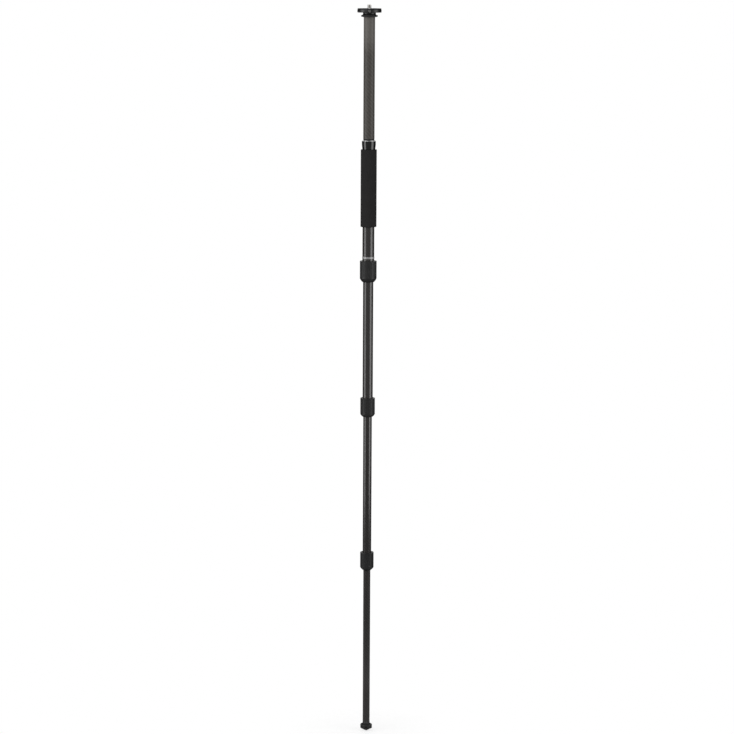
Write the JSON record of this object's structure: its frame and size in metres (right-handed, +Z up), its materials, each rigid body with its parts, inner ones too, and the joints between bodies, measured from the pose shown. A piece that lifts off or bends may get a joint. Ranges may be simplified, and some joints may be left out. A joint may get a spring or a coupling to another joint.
{
  "type": "camera monopod",
  "caption": "Telescopic camera monopod: twist-lock leg sections, foam grip, screwed-on centre column and a round camera plate with a threaded stud",
  "frame": {"origin": "lowest point of the foot, on the leg's axis, with the leg fully extended", "axes": "+Z up along the leg to the camera stud, -Y the side that faces the viewer, +X to its right"},
  "size_m": [0.0548, 0.0548, 1.7],
  "materials": {
    "steel": "machined steel",
    "black_metal": "black anodised",
    "plain_aluminium": "turned",
    "column_carbon": "woven carbon composite, matte",
    "leg_carbon": "carbon composite, satin clear coat",
    "glossy_black": "polished, black anodised",
    "foam": "closed-cell foam",
    "silver": "satin",
    "pad_rubber": "matte",
    "grip_rubber": "ribbed, matte",
    "lock_plastic": "moulded",
    "slide_plastic": "low-friction moulded",
    "seal_felt": "felt",
    "foot_rubber": "matte"
  },
  "bodies": {
    "upper_leg": {"leg_tube_1": "leg_carbon", "leg_collar": "glossy_black", "foam_grip": "foam", "silver_band": "silver", "lock_1_ferrule": "black_metal"},
    "column_washer": {"column_washer": "pad_rubber"},
    "column": {"column_tube": "column_carbon", "column_bottom_plug": "plain_aluminium", "column_stud": "steel", "column_top_flange": "black_metal", "camera_plate": "black_metal", "top_pad": "pad_rubber", "camera_stud": "steel", "plate_set_screw": "steel"},
    "lock_1_collet": {"lock_1_collet": "slide_plastic"},
    "lock_1_nut": {"lock_1_nut": "lock_plastic", "lock_1_grip": "grip_rubber", "lock_1_seal": "seal_felt"},
    "lock_2_collet": {"lock_2_collet": "slide_plastic"},
    "lock_2_nut": {"lock_2_nut": "lock_plastic", "lock_2_grip": "grip_rubber", "lock_2_seal": "seal_felt"},
    "section_2": {"leg_tube_2": "leg_carbon", "tube_2_bushings": "slide_plastic", "lock_2_ferrule": "black_metal"},
    "lock_3_collet": {"lock_3_collet": "slide_plastic"},
    "lock_3_nut": {"lock_3_nut": "lock_plastic", "lock_3_grip": "grip_rubber", "lock_3_seal": "seal_felt"},
    "section_3": {"leg_tube_3": "leg_carbon", "tube_3_bushings": "slide_plastic", "lock_3_ferrule": "black_metal"},
    "section_4": {"leg_tube_4": "leg_carbon", "tube_4_bushings": "slide_plastic", "foot_plug": "plain_aluminium"},
    "foot_washer": {"foot_washer": "slide_plastic"},
    "foot": {"rubber_foot": "foot_rubber", "foot_stud": "steel"}
  },
  "joints": [
    {"name": "section_2_slide", "type": "slide", "parent": "upper_leg", "child": "section_2", "axis": [0, 0, 1], "range_m": [0, 0.26933]},
    {"name": "section_3_slide", "type": "slide", "parent": "section_2", "child": "section_3", "axis": [0, 0, 1], "range_m": [0, 0.32063]},
    {"name": "section_4_slide", "type": "slide", "parent": "section_3", "child": "section_4", "axis": [0, 0, 1], "range_m": [0, 0.36713]},
    {"name": "lock_1_travel", "type": "slide", "parent": "upper_leg", "child": "lock_1_collet", "axis": [0, 0, -1], "range_m": [0, 0.000666]},
    {"name": "lock_1_turn", "type": "hinge", "parent": "lock_1_collet", "child": "lock_1_nut", "pos_m": [0, 0, 1.0682], "axis": [0, 0, -1], "range_deg": [0, 120]},
    {"name": "lock_2_travel", "type": "slide", "parent": "section_2", "child": "lock_2_collet", "axis": [0, 0, -1], "range_m": [0, 0.000666]},
    {"name": "lock_2_turn", "type": "hinge", "parent": "lock_2_collet", "child": "lock_2_nut", "pos_m": [0, 0, 0.7538], "axis": [0, 0, -1], "range_deg": [0, 120]},
    {"name": "lock_3_travel", "type": "slide", "parent": "section_3", "child": "lock_3_collet", "axis": [0, 0, -1], "range_m": [0, 0.000666]},
    {"name": "lock_3_turn", "type": "hinge", "parent": "lock_3_collet", "child": "lock_3_nut", "pos_m": [0, 0, 0.3898], "axis": [0, 0, -1], "range_deg": [0, 120]},
    {"name": "column_lift", "type": "slide", "parent": "upper_leg", "child": "column_washer", "axis": [0, 0, 1], "range_m": [0, 0.00952]},
    {"name": "column_turn", "type": "hinge", "parent": "column_washer", "child": "column", "pos_m": [0, 0, 1.3964], "axis": [0, 0, 1], "range_deg": [0, 2160]},
    {"name": "foot_drop", "type": "slide", "parent": "section_4", "child": "foot_washer", "axis": [0, 0, -1], "range_m": [0, 0.00762]},
    {"name": "foot_turn", "type": "hinge", "parent": "foot_washer", "child": "foot", "pos_m": [0, 0, 0.0212], "axis": [0, 0, -1], "range_deg": [0, 2160]}
  ],
  "couplings": [
    {"joint": "lock_1_turn", "follows": "lock_1_travel", "rad_per_m": 3141.6},
    {"joint": "lock_2_turn", "follows": "lock_2_travel", "rad_per_m": 3141.6},
    {"joint": "lock_3_turn", "follows": "lock_3_travel", "rad_per_m": 3141.6},
    {"joint": "column_turn", "follows": "column_lift", "rad_per_m": 3957.9},
    {"joint": "foot_turn", "follows": "foot_drop", "rad_per_m": 4947.4}
  ]
}
